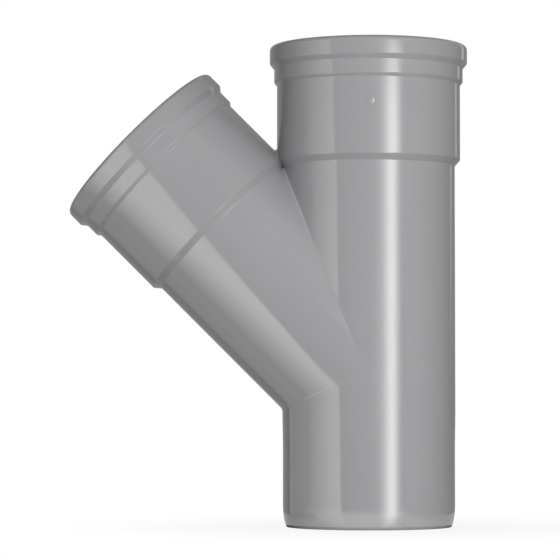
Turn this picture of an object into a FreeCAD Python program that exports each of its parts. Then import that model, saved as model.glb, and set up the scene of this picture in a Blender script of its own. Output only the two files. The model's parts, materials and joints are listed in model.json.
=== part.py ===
import FreeCAD, Part
import math
import os

# Lateral wye fitting for 110 mm drain pipe, in millimetres.
# One moulded body carries a straight run and a branch at 45 degrees.
# The run ends in a plain spigot below and a ring-seal socket above.
# The branch ends in a socket of the same form.
# The origin is the centre of the spigot's end, +Z runs up the run's axis,
# and the branch leans over towards -X in the XZ plane.

# Pipe system
pipe_diameter = 110.0
socket_clearance = 0.3
wall = 3.5

# Body between the spigot and the sockets, with tubes a little wider than the pipe
tube_rise = 0.35
branch_angle = 45.0
axis_height = 98.0
arm_length = 210.0
crotch_fillet = 1.2
heel_fillet = 4.0
crease_end = 1.5

# Spigot, slightly narrower than the tube above it
spigot_chamfer_length = 7.5
spigot_chamfer_angle = 17.0
spigot_lead_radius = 40.0
spigot_edge_radius = 0.6
spigot_draft_length = 20.0
heel_clearance = 3.0

# Sockets, with lengths measured back from the mouth along each arm
socket_length = 77.4
band_length = 25.4
collar_length = 14.6
step_slope = 40.0
step_fillet = 0.9
rim_radius = 2.8

# Seat of the seal inside a socket, with depths measured out from the pipe
land_depth = 2.1
groove_depth = 4.9
mouth_depth = 1.2
mouth_lip = 3.0
mouth_chamfer = 0.8
groove_fillet = 0.6

# Ring seal, drawn as a pipe in the socket presses it back into its seat
seal_gap = 0.1
seal_seat_clearance = 0.05
seal_lip_thickness = 0.9
seal_slot_width = 0.5

# Gate mark on the run's socket, a slightly raised round spot
gate_diameter = 6.0
gate_height = 0.3
gate_distance = 170.0
gate_azimuth = 2.0

# Radii that follow from the sizes above
pipe_radius = pipe_diameter / 2
bore_radius = pipe_radius + socket_clearance
land_radius = pipe_radius + land_depth
groove_radius = pipe_radius + groove_depth
mouth_radius = pipe_radius + mouth_depth
tube_radius = pipe_radius + tube_rise
tube_bore_radius = tube_radius - wall
socket_radius = bore_radius + wall
band_radius = land_radius + wall
collar_radius = groove_radius + wall

# Axes of the run and the branch, which cross at one point
axis_crossing = FreeCAD.Vector(0, 0, axis_height)
run_direction = FreeCAD.Vector(0, 0, 1)
branch_direction = FreeCAD.Vector(
    -math.sin(math.radians(branch_angle)), 0, math.cos(math.radians(branch_angle))
)


def step_rise(radial_step):
    """Length along the axis in which a sloped step makes its change of radius."""
    return radial_step / math.tan(math.radians(step_slope))


# Outside of an arm, as distances from the crossing of the axes
socket_start = arm_length - socket_length
barrel_start = socket_start + step_rise(socket_radius - tube_radius)
band_start = arm_length - band_length
collar_start = arm_length - collar_length

# Inside of an arm, where each corner of an even wall lies a little further out
inner_shift = wall * math.tan(math.radians(step_slope) / 2)
stop_start = socket_start + inner_shift
land_start = band_start + inner_shift
land_full = land_start + step_rise(land_radius - bore_radius)
groove_start = collar_start + inner_shift
groove_end = arm_length - mouth_lip


def rounded_wire(corners):
    """Closed wire in the XZ plane through corners given as radius, height and rounding."""
    points = [FreeCAD.Vector(radius, 0, height) for radius, height, rounding in corners]
    starts, middles, ends = [], [], []
    for index, (radius, height, rounding) in enumerate(corners):
        here = points[index]
        back = (points[index - 1] - here).normalize()
        ahead = (points[(index + 1) % len(points)] - here).normalize()
        half_angle = back.getAngle(ahead) / 2
        reach = rounding / math.tan(half_angle)
        depth = rounding / math.sin(half_angle) - rounding
        starts.append(here + back * reach)
        middles.append(here + (back + ahead).normalize() * depth)
        ends.append(here + ahead * reach)
    edges = []
    for index, corner in enumerate(corners):
        if corner[2] > 0:
            edges.append(Part.Arc(starts[index], middles[index], ends[index]).toShape())
        following = (index + 1) % len(corners)
        edges.append(Part.LineSegment(ends[index], starts[following]).toShape())
    return Part.Wire(edges)


def turned(corners):
    """Solid of revolution about an arm's axis, with heights from the crossing of the axes."""
    face = Part.Face(rounded_wire(corners))
    return face.revolve(FreeCAD.Vector(0, 0, 0), run_direction, 360)


def onto_run(shape):
    """Puts a shape drawn from the crossing of the axes onto the run."""
    placed = shape.copy()
    placed.translate(axis_crossing)
    return placed


def onto_branch(shape):
    """Puts a shape drawn from the crossing of the axes onto the branch."""
    placed = shape.copy()
    placed.rotate(FreeCAD.Vector(0, 0, 0), FreeCAD.Vector(0, 1, 0), -branch_angle)
    placed.translate(axis_crossing)
    return placed


def edges_in_plane(shape, normal):
    """Edges in the plane with this normal through the crossing of the axes."""
    tolerance = 0.001
    found = []
    for edge in shape.Edges:
        if edge.Degenerated or edge.Length < tolerance:
            continue
        offsets = [abs((point - axis_crossing).dot(normal)) for point in edge.discretize(5)]
        if max(offsets) < tolerance:
            found.append(edge)
    return found


def crotch_edges(shape):
    """Creases where two equal arms meet above, in the plane halfway between them."""
    return edges_in_plane(shape, (run_direction - branch_direction).normalize())


def heel_edges(shape):
    """Creases where the branch meets the run below."""
    return edges_in_plane(shape, (run_direction + branch_direction).normalize())


def middle_slice(shape, half_width):
    """The part of a shape that lies within a distance of the plane through both axes."""
    reach = 2 * arm_length
    box = Part.makeBox(
        2 * reach, 2 * half_width, 2 * reach, FreeCAD.Vector(-reach, -half_width, -reach)
    )
    return shape.common(box)


def spigot_corners():
    """Outside of the spigot, up to where its draft ends just below the heel of the branch."""
    chamfer_depth = spigot_chamfer_length * math.tan(math.radians(spigot_chamfer_angle))
    heel = -tube_radius * math.tan(math.radians(branch_angle) / 2)
    draft_end = heel - heel_clearance
    return [
        (0, -axis_height, 0),
        (pipe_radius - chamfer_depth, -axis_height, spigot_edge_radius),
        (pipe_radius, spigot_chamfer_length - axis_height, spigot_lead_radius),
        (pipe_radius, draft_end - spigot_draft_length, 0),
        (tube_radius, draft_end, 0),
    ]


def plain_tubes():
    """Outside of the two tubes before their sockets, rounded where they meet.

    The creases run out to nothing at the sides, where the tubes flow into each other.
    They are rounded on a slice that ends just short of there, so that each ends on a flat side.
    """
    run_end = [(tube_radius, arm_length, 0), (0, arm_length, 0)]
    run = onto_run(turned(spigot_corners() + run_end))
    branch = onto_branch(Part.makeCylinder(tube_radius, arm_length))
    tubes = run.fuse(branch).removeSplitter()
    middle = middle_slice(tubes, tube_radius - crease_end)
    middle = middle.makeFillet(heel_fillet, heel_edges(middle))
    middle = middle.makeFillet(crotch_fillet, crotch_edges(middle))
    return tubes.fuse(middle).removeSplitter()


def socket_outside():
    """Outside of one socket: barrel, band and collar, each a sloped step above the last."""
    band_full = band_start + step_rise(band_radius - socket_radius)
    collar_full = collar_start + step_rise(collar_radius - band_radius)
    return turned([
        (0, socket_start - step_fillet, 0),
        (tube_radius, socket_start - step_fillet, 0),
        (tube_radius, socket_start, step_fillet),
        (socket_radius, barrel_start, step_fillet),
        (socket_radius, band_start, step_fillet),
        (band_radius, band_full, step_fillet),
        (band_radius, collar_start, step_fillet),
        (collar_radius, collar_full, step_fillet),
        (collar_radius, arm_length, rim_radius),
        (0, arm_length, 0),
    ])


def barrel_crotch():
    """Rounded crotch between the barrels of the two sockets, beyond their first steps."""
    barrel = Part.makeCylinder(socket_radius, band_start)
    barrels = onto_run(barrel).fuse(onto_branch(barrel)).removeSplitter()
    barrels = middle_slice(barrels, socket_radius - crease_end)
    barrels = barrels.makeFillet(crotch_fillet, crotch_edges(barrels))
    beyond_step = Part.makeBox(
        4 * socket_radius,
        4 * socket_radius,
        band_start - barrel_start,
        FreeCAD.Vector(-2 * socket_radius, -2 * socket_radius, barrel_start),
    )
    return barrels.common(onto_run(beyond_step)).common(onto_branch(beyond_step))


def gate_mark():
    """Ball whose cap stands a little proud of the run's barrel."""
    ball_radius = (gate_diameter**2 / 4 + gate_height**2) / (2 * gate_height)
    centre_radius = socket_radius + gate_height - ball_radius
    azimuth = math.radians(gate_azimuth)
    centre = FreeCAD.Vector(
        centre_radius * math.sin(azimuth), -centre_radius * math.cos(azimuth), gate_distance
    )
    return onto_run(Part.makeSphere(ball_radius, centre))


def hollow(start):
    """Waterway of one arm, from a distance along its axis out through the mouth."""
    return turned([
        (0, start, 0),
        (tube_bore_radius, start, 0),
        (tube_bore_radius, stop_start, step_fillet),
        (bore_radius, stop_start + step_rise(bore_radius - tube_bore_radius), step_fillet),
        (bore_radius, land_start, step_fillet),
        (land_radius, land_full, groove_fillet),
        (land_radius, groove_start, groove_fillet),
        (groove_radius, groove_start, groove_fillet),
        (groove_radius, groove_end, groove_fillet),
        (mouth_radius, groove_end, groove_fillet),
        (mouth_radius, arm_length - mouth_chamfer, 0),
        (mouth_radius + mouth_chamfer, arm_length, 0),
        (0, arm_length, 0),
    ])


def wye_body():
    """The whole moulding, with even walls round an open waterway."""
    socket = socket_outside()
    body = plain_tubes().fuse([onto_run(socket), onto_branch(socket)])
    for piece in barrel_crotch().Solids:
        body = body.fuse(piece)
    body = body.fuse(gate_mark()).removeSplitter()
    waterway = onto_run(hollow(-axis_height)).fuse(onto_branch(hollow(0)))
    return body.cut(waterway).removeSplitter()


def ring_seal():
    """Lip seal: a bead that fills the groove, and a leg and a lip that run in along the land."""
    inner = pipe_radius + seal_gap
    slot_inner = inner + seal_lip_thickness
    slot_outer = slot_inner + seal_slot_width
    leg = land_radius - seal_seat_clearance
    bead = groove_radius - seal_seat_clearance
    lip_end = land_full
    bead_start = groove_start + seal_seat_clearance
    bead_end = groove_end - seal_seat_clearance
    return turned([
        (inner, lip_end, 0),
        (slot_inner, lip_end, 0),
        (slot_inner, bead_start, 0),
        (slot_outer, bead_start, 0),
        (slot_outer, lip_end, 0),
        (leg, lip_end, 0),
        (leg, bead_start, 0),
        (bead, bead_start, groove_fillet),
        (bead, bead_end, groove_fillet),
        (inner, bead_end, groove_fillet),
    ])


def save(shape, name):
    """Writes one sub-part and prints its size."""
    solid = shape.Solids[0]
    shape.exportStep("parts/" + name + ".step")
    print(name, "solids", len(shape.Solids), "valid", shape.isValid(), end=" ")
    print("faces", len(shape.Faces), "volume", round(shape.Volume), end=" ")
    print("centre", [round(value, 2) for value in solid.CenterOfMass])


os.makedirs("parts", exist_ok=True)
save(wye_body(), "wye_body")
seal = ring_seal()
save(onto_run(seal), "run_seal")
save(onto_branch(seal), "branch_seal")
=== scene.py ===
# %% [markdown]
# # A lateral wye fitting in grey drain plastic
#
# The real object is one injection moulding: a straight run, a branch at 45 degrees, two
# stepped sockets and a plain spigot. A black rubber ring sits in the mouth of each socket.
# The frame holds the exact solids. This lesson dresses them: it builds the moulding again
# as a clean mesh with soft edges, gives both materials their finish, and lights them.

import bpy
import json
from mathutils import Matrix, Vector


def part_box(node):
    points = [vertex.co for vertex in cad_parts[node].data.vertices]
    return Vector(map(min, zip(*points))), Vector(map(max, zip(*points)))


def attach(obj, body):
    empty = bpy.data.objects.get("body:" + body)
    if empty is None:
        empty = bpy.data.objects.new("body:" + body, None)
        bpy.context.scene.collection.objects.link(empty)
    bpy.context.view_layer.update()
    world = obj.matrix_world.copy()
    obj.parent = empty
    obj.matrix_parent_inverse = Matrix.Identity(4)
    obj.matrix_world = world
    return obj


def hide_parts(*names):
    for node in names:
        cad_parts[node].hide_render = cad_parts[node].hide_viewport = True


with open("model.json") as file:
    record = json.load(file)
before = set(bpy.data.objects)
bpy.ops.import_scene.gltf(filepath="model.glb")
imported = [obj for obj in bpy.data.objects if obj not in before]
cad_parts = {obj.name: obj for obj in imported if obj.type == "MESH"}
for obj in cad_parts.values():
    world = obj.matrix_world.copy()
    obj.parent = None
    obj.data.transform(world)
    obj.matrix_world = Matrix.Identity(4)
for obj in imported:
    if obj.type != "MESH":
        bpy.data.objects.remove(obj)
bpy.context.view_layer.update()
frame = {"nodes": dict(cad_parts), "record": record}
print("nodes:", sorted(frame["nodes"]))

# %% [markdown]
# The frame also carries the record, and its mounts state the sizes that fit a pipe.
# Taking those from the record keeps the mesh where the solids are. The mesh is worked out
# in millimetres, as a drawing is, and becomes metres only when Blender gets it.

# %% Read what the frame knows
import json
import math

import bmesh
import bpy
from mathutils import Vector

MM = 0.001
mounts = {mount["name"]: mount for mount in frame["record"]["mounts"]}
pipe_radius = mounts["spigot"]["dims"]["r_mm"]
bore_radius = mounts["run_socket"]["dims"]["r_mm"]
run_axis = Vector((0, 0, 1))
branch_axis = Vector(mounts["branch_socket"]["axis"])
branch_angle = branch_axis.angle(run_axis)
branch_seat = Vector(mounts["branch_socket"]["pos_m"]) / MM
crossing = branch_seat - branch_axis * (branch_seat.x / branch_axis.x)
spigot_length = crossing.z
run_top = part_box("wye_body")[1][2] / MM
arm_length = run_top - crossing.z
print("axes cross at", round(crossing.z, 2), "mm, arms reach", round(arm_length, 2), "mm")

# %% [markdown]
# The rest of the socket's drawing: the wall, the steps, and the groove and land that hold
# the seal. The tubes are wider than the spigot by `tube_rise`. Distances run along the arm
# from the crossing of the axes. The inner corners of an even wall lie a little further
# along the arm than the outer ones, which is what `inner_shift` is for.

# %% Sizes of the arms, in millimetres
wall = 3.5
tube_rise = 0.35
step_slope = math.radians(40)
socket_start = arm_length - 77.4
band_start = arm_length - 25.4
collar_start = arm_length - 14.6
groove_end = arm_length - 3.0
land_radius = pipe_radius + 2.1
groove_radius = pipe_radius + 4.9
mouth_radius = pipe_radius + 1.2
mouth_chamfer = 0.8

tube_radius = pipe_radius + tube_rise
tube_bore = tube_radius - wall
socket_radius = bore_radius + wall
band_radius = land_radius + wall
collar_radius = groove_radius + wall
inner_shift = wall * math.tan(step_slope / 2)


def rise(radial_step):
    """Length along the arm in which a sloped step changes its radius."""
    return radial_step / math.tan(step_slope)


barrel_start = socket_start + rise(socket_radius - tube_radius)
stop_start = socket_start + inner_shift
stop_end = stop_start + rise(bore_radius - tube_bore)
land_start = band_start + inner_shift
land_full = land_start + rise(land_radius - bore_radius)
groove_start = collar_start + inner_shift
print("outside radii:", tube_radius, socket_radius, band_radius, collar_radius)

# %% [markdown]
# No moulded edge is quite sharp, and the light that catches a rounded edge is most of what
# makes a step look real. A bevel modifier could round them, but it has no idea of the
# drawing. So the outline itself is rounded, corner by corner, before it is turned.

# %% Round the corners of an outline
ARC_STEPS = 5


def rounded(corners):
    """Points of an open outline, from corners given as radius, distance and rounding."""
    points = [Vector(corner[:2]) for corner in corners]
    outline = [points[0]]
    for before, here, after, corner in zip(points, points[1:], points[2:], corners[1:]):
        rounding = corner[2]
        if rounding == 0:
            outline.append(here)
            continue
        back = (before - here).normalized()
        ahead = (after - here).normalized()
        half = back.angle(ahead) / 2
        sweep = math.pi - 2 * half
        centre = here + (back + ahead).normalized() * rounding / math.sin(half)
        first = here + back * rounding / math.tan(half) - centre
        last = here + ahead * rounding / math.tan(half) - centre
        for step in range(ARC_STEPS + 1):
            turn = sweep * step / ARC_STEPS
            spoke = first * math.sin(sweep - turn) + last * math.sin(turn)
            outline.append(centre + spoke / math.sin(sweep))
    outline.append(points[-1])
    return outline


# %% [markdown]
# A socket has two outlines, with a plain stretch of barrel between them where the other arm
# may cut in. The first is the slope from the tube up to the barrel. The second climbs over
# the band and the collar, turns round the rim, and comes back inside through the groove,
# the land and the pipe's seat to the stop.

# %% Outlines of the socket
step_rounding = 0.9
rim_rounding = 2.8
groove_rounding = 0.6
hair_rounding = 0.2

step_outline = rounded([
    (tube_radius, socket_start - step_rounding, 0),
    (tube_radius, socket_start, step_rounding),
    (socket_radius, barrel_start, step_rounding),
    (socket_radius, barrel_start + step_rounding, 0),
])
mouth_outline = rounded([
    (socket_radius, band_start - step_rounding, 0),
    (socket_radius, band_start, step_rounding),
    (band_radius, band_start + rise(band_radius - socket_radius), step_rounding),
    (band_radius, collar_start, step_rounding),
    (collar_radius, collar_start + rise(collar_radius - band_radius), step_rounding),
    (collar_radius, arm_length, rim_rounding),
    (mouth_radius + mouth_chamfer, arm_length, hair_rounding),
    (mouth_radius, arm_length - mouth_chamfer, hair_rounding),
    (mouth_radius, groove_end, groove_rounding),
    (groove_radius, groove_end, groove_rounding),
    (groove_radius, groove_start, groove_rounding),
    (land_radius, groove_start, groove_rounding),
    (land_radius, land_full, groove_rounding),
    (bore_radius, land_start, step_rounding),
    (bore_radius, stop_end, step_rounding),
    (tube_bore, stop_start, step_rounding),
    (tube_bore, stop_start - step_rounding, 0),
])
print("outline points:", len(step_outline), "for the step,", len(mouth_outline), "for the mouth")

# %% [markdown]
# Where tubes of equal width meet, the seam lies in a flat plane halfway between them. That
# makes it possible to build the junction without a boolean: each arm is a sheet of columns
# that run along its axis, and each column ends on the plane halfway to its neighbour.
# Looked at from the side, two such columns form a plain corner, and a small arc rounds it.
# Its radius shrinks with the cosine of the column's angle, as a ball rolled along the seam
# would leave it. A boolean of two cylinders would need a bevel there, and bevels tear where
# a seam runs out to nothing.

# %% Where a column of one arm meets its neighbour
SEAM_STEPS = 6


def seam_points(width, half_opening, rounding, floor=None, ceiling=None):
    """Places along one column near a seam, as width from the axis and distance along the arm.

    The seam may start only above the floor and has to end below the ceiling.
    """
    seam = width / math.tan(half_opening)
    if floor is not None:
        if seam <= floor:
            return [(width, floor)] * (SEAM_STEPS + 1)
        rounding = min(rounding, (seam - floor) * math.tan(half_opening))
    if ceiling is not None:
        if seam >= ceiling:
            return [(width, ceiling)] * (SEAM_STEPS + 1)
        rounding = min(rounding, (ceiling - seam) * math.tan(half_opening))
    contact = seam + rounding / math.tan(half_opening)
    places = []
    for step in range(SEAM_STEPS + 1):
        turn = (1 - step / SEAM_STEPS) * (math.pi / 2 - half_opening)
        swelling = rounding * (1 - math.cos(turn))
        places.append((width + swelling, contact - rounding * math.sin(turn)))
    return places


crotch_seam = tube_radius / math.tan(branch_angle / 2)
print("the tubes part", round(crotch_seam, 1), "mm from the crossing, at the crotch")

# %% [markdown]
# One column of an arm starts at the seam outside, climbs over the step of the socket, turns
# round the rim, follows the groove and the bore back inside, and ends at the seam of the
# bore. Every column has the same number of points, so neighbours join with plain quads.
# Points that fall together are merged later.

# %% One column of an arm with a socket
NO_WIDTH = 1e-9


def turned(outline, angle):
    """An outline's points on one column, as offsets to the side, along Y and along the arm."""
    side, across = math.cos(angle), math.sin(angle)
    return [(radius * side, radius * across, distance) for radius, distance in outline]


def seam_column(radius, angle, near, far, **limits):
    """Seam points of a tube on one column. Near and far give each side's opening and rounding."""
    side = math.cos(angle)
    if abs(side) < NO_WIDTH:
        side = 0.0
    half_opening, rounding = near if side >= 0 else far
    places = seam_points(abs(radius * side), half_opening, rounding * abs(side), **limits)
    across = radius * math.sin(angle)
    return [(math.copysign(width, side), across, distance) for width, distance in places]


def socket_column(angle, near, far, inner_near, inner_far):
    """All points of one column of an arm with a socket, from the outer seam to the inner one."""
    outer = seam_column(tube_radius, angle, near, far, ceiling=step_outline[0].y)
    barrel = turned([(socket_radius, step_outline[-1].y)], angle) * (SEAM_STEPS + 1)
    if math.cos(angle) > 0:
        barrel = seam_column(socket_radius, angle, near, far, floor=step_outline[-1].y)
    inner = seam_column(tube_bore, angle, inner_near, inner_far)
    return outer + turned(step_outline, angle) + barrel + turned(mouth_outline, angle) + inner[::-1]


# %% [markdown]
# The spigot is the third arm. It points down, and its outline has a short draft below the
# heel of the branch, the plain stretch that seals in the next socket, and the chamfer that
# leads it in. The chamfer starts in a wide curve, so that it can't catch the seal's lip.

# %% Outline and column of the spigot
chamfer_length = 7.5
chamfer_depth = chamfer_length * math.tan(math.radians(17))
lead_in_rounding = 40.0
spigot_edge_rounding = 1.0
draft_gap = 3.0
draft_length = 20.0
draft_start = tube_radius * math.tan(branch_angle / 2) + draft_gap

spigot_outline = rounded([
    (tube_radius, draft_start, 0),
    (pipe_radius, draft_start + draft_length, 0),
    (pipe_radius, spigot_length - chamfer_length, lead_in_rounding),
    (pipe_radius - chamfer_depth, spigot_length, spigot_edge_rounding),
    (tube_bore, spigot_length, hair_rounding),
    (tube_bore, draft_start, 0),
])
print("outline points for the spigot:", len(spigot_outline))


def spigot_column(angle, near, far, inner_near, inner_far):
    """All points of one column of the spigot, from the outer seam to the inner one."""
    outer = seam_column(tube_radius, angle, near, far)
    inner = seam_column(tube_bore, angle, inner_near, inner_far)
    return outer + turned(spigot_outline, angle) + inner[::-1]


# %% [markdown]
# Now the three arms are laid out round the crossing of the axes. Each is told the direction
# of its axis, which side its neighbour is on, and half the angle to the neighbour on either
# side. The run and the spigot are in line, so the seam between them is no seam at all.

# %% Lay out one arm as a mesh
COLUMNS = 192
ON_PLANE = 0.0002


def column_rows(mesh, column, axis, toward):
    """Vertices of a sheet that goes once round an arm's axis, one row for each column."""
    rows = []
    for index in range(COLUMNS):
        places = column(2 * math.pi * index / COLUMNS)
        rows.append([
            mesh.verts.new(crossing + toward * side + Vector((0, across, 0)) + axis * distance)
            for side, across, distance in places
        ])
    return rows


def arm_mesh(mesh, column, axis, toward, *sides):
    """Adds an arm's sheet of quads to the mesh and returns its new faces and vertices."""
    rows = column_rows(mesh, lambda angle: column(angle, *sides), axis, toward)
    faces = []
    for here, there in zip(rows, rows[1:] + rows[:1]):
        for k in range(len(here) - 1):
            faces.append(mesh.faces.new((here[k], here[k + 1], there[k + 1], there[k])))
    return faces, [vertex for row in rows for vertex in row]


def trim_to_plane(mesh, faces, verts, normal):
    """Cuts an arm along a plane through the crossing and drops what lies beyond it."""
    edges = {edge for face in faces for edge in face.edges}
    bmesh.ops.bisect_plane(
        mesh,
        geom=list(verts) + list(edges) + list(faces),
        dist=ON_PLANE,
        plane_co=crossing,
        plane_no=normal,
        clear_outer=True,
    )


# %% [markdown]
# A finished mesh becomes a piece: points that fall together are merged, millimetres become
# metres, and the shading is smooth but for true corners. Weighted normals keep the long
# flat faces flat, so that only the narrow arcs between them bend the light.

# %% Turn a mesh into a piece
MERGE_REACH = 0.002
SHARP_ANGLE = math.radians(32)


def piece_from(mesh, name):
    """Turns a mesh in millimetres into a smooth piece in metres that rides with the fitting."""
    bmesh.ops.remove_doubles(mesh, verts=mesh.verts, dist=MERGE_REACH)
    bmesh.ops.recalc_face_normals(mesh, faces=mesh.faces)
    not_closed = sum(len(edge.link_faces) != 2 for edge in mesh.edges)
    print(name, "has", len(mesh.faces), "faces and", not_closed, "open edges")
    bmesh.ops.scale(mesh, vec=(MM, MM, MM), verts=mesh.verts)
    data = bpy.data.meshes.new(name)
    mesh.to_mesh(data)
    mesh.free()
    piece = bpy.data.objects.new(name, data)
    bpy.context.scene.collection.objects.link(piece)
    data.shade_smooth()
    data.set_sharp_from_angle(angle=SHARP_ANGLE)
    weighted = piece.modifiers.new("even_shading", "WEIGHTED_NORMAL")
    weighted.keep_sharp = True
    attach(piece, "root")
    return piece


# %% [markdown]
# The steps of the two sockets run into each other in the crotch, a little below the point
# where the tubes themselves part. The columns there would cross the halfway plane, so both
# socketed arms are trimmed to it. Both trims cut the same edges at the same places, and the
# merge at the end closes the skin.

# %% Build the whole moulding
crotch_rounding = 1.2
heel_rounding = 4.0
inner_crotch_rounding = 0.5
inner_heel_rounding = 1.0

toward_branch = Vector((-1, 0, 0))
toward_run = Vector((math.cos(branch_angle), 0, math.sin(branch_angle)))
halfway = (run_axis - branch_axis).normalized()
half_crotch = branch_angle / 2
half_heel = math.pi / 2 - half_crotch
crotch = (half_crotch, crotch_rounding)
inner_crotch = (half_crotch, inner_crotch_rounding)
heel = (half_heel, heel_rounding)
inner_heel = (half_heel, inner_heel_rounding)
straight = (math.pi / 2, 0.0)


def wye_mesh():
    """The moulding as one closed skin, in millimetres."""
    mesh = bmesh.new()
    run_sides = (crotch, straight, inner_crotch, straight)
    branch_sides = (crotch, heel, inner_crotch, inner_heel)
    spigot_sides = (heel, straight, inner_heel, straight)
    run = arm_mesh(mesh, socket_column, run_axis, toward_branch, *run_sides)
    trim_to_plane(mesh, *run, -halfway)
    branch = arm_mesh(mesh, socket_column, branch_axis, toward_run, *branch_sides)
    trim_to_plane(mesh, *branch, halfway)
    arm_mesh(mesh, spigot_column, -run_axis, toward_branch, *spigot_sides)
    return mesh


moulding = piece_from(wye_mesh(), "moulding")
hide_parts("wye_body")

# %% [markdown]
# Hot plastic enters the mould through one gate. Where it was cut off, a round spot stands a
# little proud of the run's socket, on the side that the photograph shows. It is a low dome:
# almost level in its middle and steeper towards its edge, and only that edge catches the
# light. The spot is laid round the barrel and sunk into it a little.

# %% The gate mark
gate_radius = 3.0
gate_height = 0.3
gate_sink = 0.4
gate_distance = 170.0
gate_azimuth = math.radians(2)


def gate_mesh(rings=12, spokes=64):
    """A closed low dome on the run's barrel, from its middle out to a sunken edge."""
    mesh = bmesh.new()

    def placed(reach, turn, height):
        azimuth = gate_azimuth + reach * math.cos(turn) / socket_radius
        radius = socket_radius + height
        outward = Vector((radius * math.sin(azimuth), -radius * math.cos(azimuth), 0))
        upward = run_axis * (gate_distance + reach * math.sin(turn))
        return mesh.verts.new(crossing + outward + upward)

    turns = [2 * math.pi * k / spokes for k in range(spokes)]
    rows = []
    for ring in range(1, rings + 1):
        share = math.sin(math.pi / 2 * ring / rings)
        height = gate_height * (1 - share**3)
        rows.append([placed(gate_radius * share, turn, height) for turn in turns])
    rows.append([placed(gate_radius, turn, -gate_sink) for turn in turns])
    top = placed(0, 0, gate_height)
    for k in range(spokes):
        after = (k + 1) % spokes
        mesh.faces.new((top, rows[0][k], rows[0][after]))
        for inner, outer in zip(rows, rows[1:]):
            mesh.faces.new((inner[k], outer[k], outer[after], inner[after]))
    mesh.faces.new(rows[-1])
    return mesh


gate_mark = piece_from(gate_mesh(), "gate_mark")

# %% [markdown]
# The ring seals are turned, too, but their outline is closed. Each is drawn as a pushed-in
# pipe leaves it: a bead that fills the groove, a leg that lies on the land, and a lip that
# is pressed back against the leg with a narrow slot between them.

# %% The ring seals
pipe_clearance = 0.1
seat_clearance = 0.05
lip_thickness = 0.9
slot_width = 0.5
tip_rounding = 0.22

seal_inner = pipe_radius + pipe_clearance
slot_inner = seal_inner + lip_thickness
slot_outer = slot_inner + slot_width
leg_radius = land_radius - seat_clearance
bead_radius = groove_radius - seat_clearance
bead_start = groove_start + seat_clearance
bead_end = groove_end - seat_clearance

seal_corners = [
    (seal_inner, land_full, tip_rounding),
    (slot_inner, land_full, tip_rounding),
    (slot_inner, bead_start, tip_rounding),
    (slot_outer, bead_start, tip_rounding),
    (slot_outer, land_full, tip_rounding),
    (leg_radius, land_full, tip_rounding),
    (leg_radius, bead_start, tip_rounding),
    (bead_radius, bead_start, groove_rounding),
    (bead_radius, bead_end, groove_rounding),
    (seal_inner, bead_end, groove_rounding),
]
seal_outline = rounded([seal_corners[-1], *seal_corners, seal_corners[0]])[1:-1]


def ring_mesh(axis, toward):
    """The seal's closed outline turned about an arm's axis."""
    mesh = bmesh.new()
    rows = column_rows(mesh, lambda angle: turned(seal_outline, angle), axis, toward)
    for here, there in zip(rows, rows[1:] + rows[:1]):
        for k in range(len(here)):
            after = (k + 1) % len(here)
            mesh.faces.new((here[k], here[after], there[after], there[k]))
    return mesh


run_ring = piece_from(ring_mesh(run_axis, toward_branch), "run_ring")
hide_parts("run_seal")
branch_ring = piece_from(ring_mesh(branch_axis, toward_run), "branch_ring")
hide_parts("branch_seal")

# %% [markdown]
# Materials are sums of waves and noise, and sums read best when they are written as sums.
# `Wire` wraps a socket, so that `a * 2 + b` adds the Math nodes that work it out. One more
# method adds any other node: its settings first, then a value or a wire for each input. A
# wire without a socket stands for an empty tree, ready for its first node.

# %% A small language for shader maths


class Wire:
    """An output socket of a node tree that can be reckoned with."""

    def __init__(self, tree, socket=None):
        self.tree = tree
        self.socket = socket

    def node(self, kind, settings, values, output=0):
        """Adds a node and returns one of its outputs as a wire."""
        node = self.tree.nodes.new(kind)
        for name, value in settings.items():
            setattr(node, name, value)
        for name, value in values.items():
            if isinstance(value, Wire):
                self.tree.links.new(value.socket, node.inputs[name])
            else:
                node.inputs[name].default_value = value
        return Wire(self.tree, node.outputs[output])

    def maths(self, operation, first, second=0.0):
        """Adds a Math node."""
        return self.node("ShaderNodeMath", {"operation": operation}, {0: first, 1: second})

    def __add__(self, other):
        return self.maths("ADD", self, other)

    def __radd__(self, other):
        return self.maths("ADD", other, self)

    def __sub__(self, other):
        return self.maths("SUBTRACT", self, other)

    def __rsub__(self, other):
        return self.maths("SUBTRACT", other, self)

    def __mul__(self, other):
        return self.maths("MULTIPLY", self, other)

    def __rmul__(self, other):
        return self.maths("MULTIPLY", other, self)

    def __truediv__(self, other):
        return self.maths("DIVIDE", self, other)

    def __pow__(self, other):
        return self.maths("POWER", self, other)

    def __abs__(self):
        return self.maths("ABSOLUTE", self)

    def clipped(self):
        """The value, kept between 0 and 1."""
        return self.maths("MINIMUM", self.maths("MAXIMUM", self, 0.0), 1.0)


def empty_tree(owner):
    """Empties the node tree of a material or the world and returns it as a bare wire."""
    owner.use_nodes = True
    owner.node_tree.nodes.clear()
    return Wire(owner.node_tree)


def show(shader, output_kind="ShaderNodeOutputMaterial"):
    """Makes a shader what its tree shows, and returns how many nodes the tree has."""
    output = shader.tree.nodes.new(output_kind)
    shader.tree.links.new(shader.socket, output.inputs["Surface"])
    return len(shader.tree.nodes)


# %% [markdown]
# Both materials need the same four things: a place on the surface, noise at some scale, two
# colours laid over each other, and a relief too fine to model. A Mix node holds sockets for
# several kinds of data, and numbers 6 and 7 are its colours.

# %% Nodes that both materials use


def place_on(wire):
    """The place of a surface point, in metres. The pieces sit at the origin."""
    return wire.node("ShaderNodeTexCoord", {}, {}, "Object")


def part_of(vector, axis_name):
    """One coordinate of a vector."""
    return vector.node("ShaderNodeSeparateXYZ", {}, {"Vector": vector}, axis_name)


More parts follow.
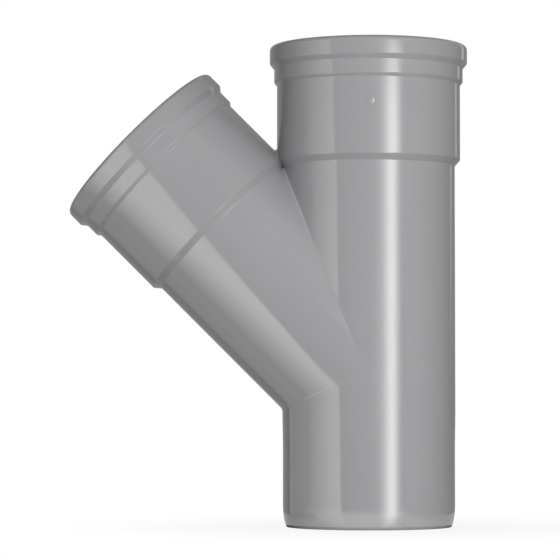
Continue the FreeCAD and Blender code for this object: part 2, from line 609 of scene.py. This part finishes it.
def noise(place, scale, detail):
    """Noise between 0 and 1, with about as many lumps to a metre as its scale says."""
    values = {"Vector": place, "Scale": scale, "Detail": detail}
    return place.node("ShaderNodeTexNoise", {"noise_dimensions": "3D"}, values, "Fac")


def colours(wire, blend, share, first, second):
    """A second colour laid over a first one."""
    settings = {"data_type": "RGBA", "blend_type": blend}
    return wire.node("ShaderNodeMix", settings, {0: share, 6: first, 7: second}, 2)


def bumped(relief):
    """The surface's normal, tilted by a relief in metres."""
    values = {"Strength": 1.0, "Distance": 1.0, "Height": relief}
    return relief.node("ShaderNodeBump", {}, values, "Normal")


# %% [markdown]
# Drain plastic comes from a polished steel mould. It is a neutral grey with a hard, clear
# gloss, and only a close look shows that it isn't perfect: the surface waves very slightly
# where the wall shrank, the finest grain of the steel is printed on it, handling has left
# the gloss a touch uneven, and a hair-thin ridge runs round where the mould halves met.

# %% Grey plastic
plastic_grey = (0.345, 0.343, 0.354, 1.0)
wave_height = 0.00006
grain_height = 0.0000006
ridge_height = 0.00004
ridge_half_width = 0.00018

pvc = bpy.data.materials.new("grey_pvc")
wire = empty_tree(pvc)
place = place_on(wire)
cloud = noise(place, 22.0, 3.0)
smear = noise(place, 60.0, 4.0)
wave = noise(place, 28.0, 1.0)
grain = noise(place, 1400.0, 2.0)
ridge = (1.0 - abs(part_of(place, "Y")) / ridge_half_width).clipped()
relief = wave_height * wave + grain_height * grain + ridge_height * ridge
surface = wire.node("ShaderNodeBsdfPrincipled", {}, {
    "Base Color": colours(wire, "MULTIPLY", 1.0, plastic_grey, 0.97 + 0.06 * cloud),
    "Roughness": 0.075 + 0.05 * smear,
    "IOR": 1.52,
    "Normal": bumped(relief),
})
print("the grey plastic takes", show(surface), "nodes")
for piece in (moulding, gate_mark):
    piece.data.materials.append(pvc)

# %% [markdown]
# The rings are vulcanised rubber: black, nearly matt, with a fine tooth. A little pale dust
# clings to it, in patches that the third power of the noise keeps few.

# %% Black rubber
rubber_black = (0.018, 0.018, 0.019, 1.0)
dust_grey = (0.06, 0.06, 0.06, 1.0)
tooth_height = 0.00001

rubber = bpy.data.materials.new("seal_rubber")
wire = empty_tree(rubber)
place = place_on(wire)
dust = noise(place, 90.0, 5.0)
tooth = noise(place, 900.0, 3.0)
surface = wire.node("ShaderNodeBsdfPrincipled", {}, {
    "Base Color": colours(wire, "MIX", dust ** 3.0, rubber_black, dust_grey),
    "Roughness": 0.5 + 0.2 * dust,
    "Normal": bumped(tooth_height * tooth),
})
print("the black rubber takes", show(surface), "nodes")
for ring in (run_ring, branch_ring):
    ring.data.materials.append(rubber)

# %% [markdown]
# The photograph looks at the fitting from the side with a long lens, a little above the
# floor. The camera's place was fitted to the outlines of the tubes.

# %% Camera
tilt_up = math.radians(2.51)
turn_left = math.radians(2.92)

camera_data = bpy.data.cameras.new("camera")
camera_data.sensor_width = 36.0
camera_data.lens = 180.8
camera = bpy.data.objects.new("camera", camera_data)
camera.location = (0.03507, -1.8031, 0.07884)
camera.rotation_euler = (math.pi / 2 + tilt_up, 0, turn_left)
bpy.context.scene.collection.objects.link(camera)
bpy.context.scene.camera = camera
print("the camera stands", round(camera.location.length, 2), "m from the spigot's end")

# %% [markdown]
# A clear gloss shows its surroundings, and much of the photographer's studio can be read off
# the plastic. Cards stand in for what it mirrors. Only reflections see them, so they aren't
# sampled as lamps are. Soft lamps, which reflections don't see, light the fitting evenly.

# %% Cards that only reflections see


def card(name, corners, faces, glow):
    """A card from corners in metres. The glow works out its brightness on the card's tree."""
    data = bpy.data.meshes.new(name)
    data.from_pydata(corners, [], faces)
    material = bpy.data.materials.new(name)
    wire = empty_tree(material)
    material.cycles.emission_sampling = "NONE"
    shine = wire.node("ShaderNodeEmission", {}, {"Color": glow(wire)})
    print("the card", name, "takes", show(shine), "nodes")
    data.materials.append(material)
    panel = bpy.data.objects.new(name, data)
    bpy.context.scene.collection.objects.link(panel)
    panel.visible_camera = False
    panel.visible_diffuse = False
    panel.visible_transmission = False
    panel.visible_volume_scatter = False
    panel.visible_shadow = False


def upright(name, here, there, low, high, glow):
    """A standing card between two places on the floor plan."""
    corners = [(*here, low), (*there, low), (*there, high), (*here, high)]
    card(name, corners, [(0, 1, 2, 3)], glow)


def along(wire, axis_name):
    """One coordinate of the card's surface, in metres."""
    return part_of(place_on(wire), axis_name)


def hump(offset, width):
    """A soft hump that is 1 where the offset is 0."""
    share = offset / width
    return share.maths("EXPONENT", -1.0 * share * share)


def below(height, start, reach):
    """Rises from 0 to 1 with the depth below a starting height."""
    return ((start - height) / reach).clipped()


def plain(level):
    """The same brightness all over a card."""
    return lambda wire: (level, level, level, 1.0)


# %% [markdown]
# The bright streak down the run is a strip lamp behind cloth: its middle is brightest, its
# sides are soft, and it fades out a little above the fitting and towards the floor. The
# light left half of the fitting mirrors a large panel, which goes on round the corner of the
# room and fades on its way back. What cuts the panel off so sharply is a dark board between
# it and the fitting. The line that it draws on the branch leans in a way that only a near
# thing explains, so the board stands close and its edge slants. The lowest part of all
# three holds the light that the table sends up, because the spigot's chamfer mirrors it.

# %% The strip, the panel and the board in front
front_y = -0.8
strip_middle = 0.475
strip_width = 0.178
strip_top = 0.48
panel_corner = (-0.8, front_y)
panel_end = (-1.7, 0.0)
board_y = -0.255
board_outline = [(-0.125, -0.3), (0.02, -0.3), (0.02, 0.6), (-0.244, 0.6)]


def table_light(height):
    """The light from the table on a far card: none at the floor, full 0.2 m below it."""
    return below(height, -0.04, 0.16)


def strip_glow(wire):
    """A bright soft middle on a dim ground, with the table's light below."""
    height = along(wire, "Z")
    fade = ((strip_top - height) / 0.12).clipped() * (1.0 - below(height, -0.1, 0.55))
    middle = hump(along(wire, "X") - strip_middle, strip_width)
    ground = 0.5 + 1.6 * table_light(height)
    return ground + 9.5 * middle * fade


def panel_glow(wire):
    """Brightest in front, dimmer towards its far end, its top and its foot."""
    way_back = (along(wire, "Y") - front_y) / -front_y
    height = along(wire, "Z")
    level = 0.75 + 2.15 * (1.0 - way_back).clipped() ** 1.3
    table = 0.8 * table_light(height) * (1.0 - below(height, -0.4, 0.4))
    return level * (1.0 - 0.3 * height - 0.5 * abs(height)) + table


def board_glow(wire):
    """Dark, with the table's light below."""
    return 0.4 + 2.2 * below(along(wire, "Z"), 0.0, 0.05)


upright("strip", (0.02, front_y), (0.98, front_y), -0.7, strip_top, strip_glow)
upright("panel", (-0.15, front_y), panel_corner, -1.4, 0.7, panel_glow)
upright("panel_side", panel_corner, panel_end, -1.6, 0.7, panel_glow)
card("board", [(x, board_y, z) for x, z in board_outline], [(0, 1, 2, 3)], board_glow)

# %% [markdown]
# The sides of the tubes mirror what stands beside and behind the fitting: pale walls to the
# left, darker ones at the back, and a narrow window behind to the right, which draws the
# thin light line along the run's right edge. Two low cards close to the foot hold the light
# that the table throws there. A nearly black disk under the spigot is painted shade: it
# stands in for the dark contact shadow where the spigot stands, and the rounded bottom edge
# mirrors it as a dark line. A dim room, lighter to the right, closes what is left.

# %% Walls, window, foot and room
left_x = -1.7
back_y = 1.6
contact_radius = 0.0565
contact_drop = 0.0003
contact_corners = 48


def window_glow(wire):
    """Lighter towards the top."""
    return 0.2 + 2.4 * (along(wire, "Z") - 0.05).clipped()


def foot_glow(wire):
    """The table's light, which reaches the front of the foot only."""
    front = ((0.06 - along(wire, "Y")) / 0.12).clipped()
    return 0.75 + 1.3 * below(along(wire, "Z"), 0.0, 0.02) * front


def room_glow(wire):
    """Lighter to the right and in front, and dark at the ceiling."""
    settings = {"operation": "NORMALIZE"}
    way = wire.node("ShaderNodeVectorMath", settings, {0: place_on(wire)}, "Vector")
    right, back, up = (part_of(way, axis_name) for axis_name in "XYZ")
    lit = ((right + 0.05) / 0.5).clipped() * ((0.75 - back) / 0.9).clipped()
    return (0.3 + 0.45 * lit) * ((0.95 - up) / 0.3).clipped()


upright("left_wall", panel_end, (left_x, 1.4), -2.0, 0.3, plain(0.95))
upright("left_wall_low", (left_x, 1.4), (left_x, 2.3), -2.0, -0.35, plain(0.75))
upright("back_wall_left", (-1.55, back_y), (-0.1, back_y), -1.5, 1.5, plain(0.45))
upright("back_wall_right", (-0.1, back_y), (1.4, back_y), -1.5, 1.5, plain(0.3))
upright("window", (0.96, 1.13), (0.83, 1.23), 0.05, 1.5, window_glow)
upright("foot_right", (0.1, -0.105), (0.1, 0.15), -0.06, 0.0, foot_glow)
upright("foot_left", (-0.1, -0.06), (-0.1, 0.12), -0.06, 0.0, foot_glow)

# The contact disk is painted shade: a nearly black card, seen only in reflections, in place of the
# contact shadow under the spigot.
contact_turns = [2 * math.pi * k / contact_corners for k in range(contact_corners)]
contact_outline = [
    (math.cos(turn) * contact_radius, math.sin(turn) * contact_radius, -contact_drop)
    for turn in contact_turns
]
card("contact", contact_outline, [range(contact_corners)], plain(0.03))

room_corners = [(x, y, z) for x in (-3, 3) for y in (-3, 3) for z in (-2.9, 3)]
room_faces = [(0, 1, 3, 2), (4, 6, 7, 5), (0, 4, 5, 1), (2, 3, 7, 6), (0, 2, 6, 4), (1, 5, 7, 3)]
card("room", room_corners, room_faces, room_glow)

# %% [markdown]
# The main lamp stands close to the camera, a little to its right, and aims low. A weak one
# above keeps the upper sides from going dull, and a third does the main lamp's work for
# whoever walks round to the back.

# %% Soft lamps
fitting_middle = (-0.03, 0, 0.15)
low_aim = (-0.03, 0, -0.2)


def lamp(name, stand, aim, size, power):
    """A square area lamp that looks at a point."""
    data = bpy.data.lights.new(name, "AREA")
    data.shape = "SQUARE"
    data.size = size
    data.energy = power
    holder = bpy.data.objects.new(name, data)
    holder.location = stand
    way = Vector(aim) - holder.location
    holder.rotation_euler = way.to_track_quat("-Z", "Y").to_euler()
    holder.visible_glossy = False
    holder.visible_camera = False
    bpy.context.scene.collection.objects.link(holder)
    print("the", name, "lamp gives", power, "W from", round(way.length, 2), "m")


lamp("front", (0.36, -1.7, 0.17), low_aim, 0.32, 22.4)
lamp("top", (0.3, -1.0, 1.3), fitting_middle, 0.6, 2.2)
lamp("behind", (-0.3, 1.9, 0.6), fitting_middle, 0.6, 26)

# %% [markdown]
# The floor and the world are plain white to the camera, to reflections and to glass, and
# only a soft grey to diffuse light. Near the fitting the floor mixes in a little of a real
# surface, which is how it keeps the fitting's shadow. That surface is only dimly lit, so the
# mix also paints shade: a soft grey ring round the foot, darkest at the spigot's middle and
# gone 0.2 m away from it, whether or not a shadow falls there.

# %% Floor and world
floor_grey = (0.45, 0.45, 0.45, 1.0)
white = (1.0, 1.0, 1.0, 1.0)
shadow_reach = 0.2
shadow_share = 0.14
world_level = 0.15


def seen_white(wire):
    """1 where a ray comes from the camera, a reflection or glass, and 0 elsewhere."""
    ray_names = ("Is Camera Ray", "Is Glossy Ray", "Is Transmission Ray")
    rays = [wire.node("ShaderNodeLightPath", {}, {}, ray_name) for ray_name in ray_names]
    return (rays[0] + rays[1] + rays[2]).clipped()


floor_data = bpy.data.meshes.new("floor")
floor_data.from_pydata([(-6, -4, 0), (6, -4, 0), (6, 8, 0), (-6, 8, 0)], [], [(0, 1, 2, 3)])
floor = bpy.data.objects.new("floor", floor_data)
bpy.context.scene.collection.objects.link(floor)
floor_material = bpy.data.materials.new("floor")
wire = empty_tree(floor_material)
matt = wire.node("ShaderNodeBsdfDiffuse", {}, {"Color": floor_grey})
bright = wire.node("ShaderNodeEmission", {}, {"Color": white, "Strength": 1.0})
away = wire.node("ShaderNodeVectorMath", {"operation": "LENGTH"}, {0: place_on(wire)}, "Value")
# Painted shade: the floor greys towards the foot, on top of the real shadow that the matt part
# receives.
painted_shade_ramp = (1.0 - away / shadow_reach).clipped()
white_share = (1.0 - shadow_share * painted_shade_ramp) * seen_white(wire)
show(wire.node("ShaderNodeMixShader", {}, {0: white_share, 1: matt, 2: bright}))
floor_data.materials.append(floor_material)
floor.visible_glossy = False

world = bpy.data.worlds.new("studio")
bpy.context.scene.world = world
wire = empty_tree(world)
strength = world_level + (1.0 - world_level) * seen_white(wire)
sky = wire.node("ShaderNodeBackground", {}, {"Color": white, "Strength": strength})
show(sky, "ShaderNodeOutputWorld")
bpy.context.scene.view_settings.view_transform = "Standard"
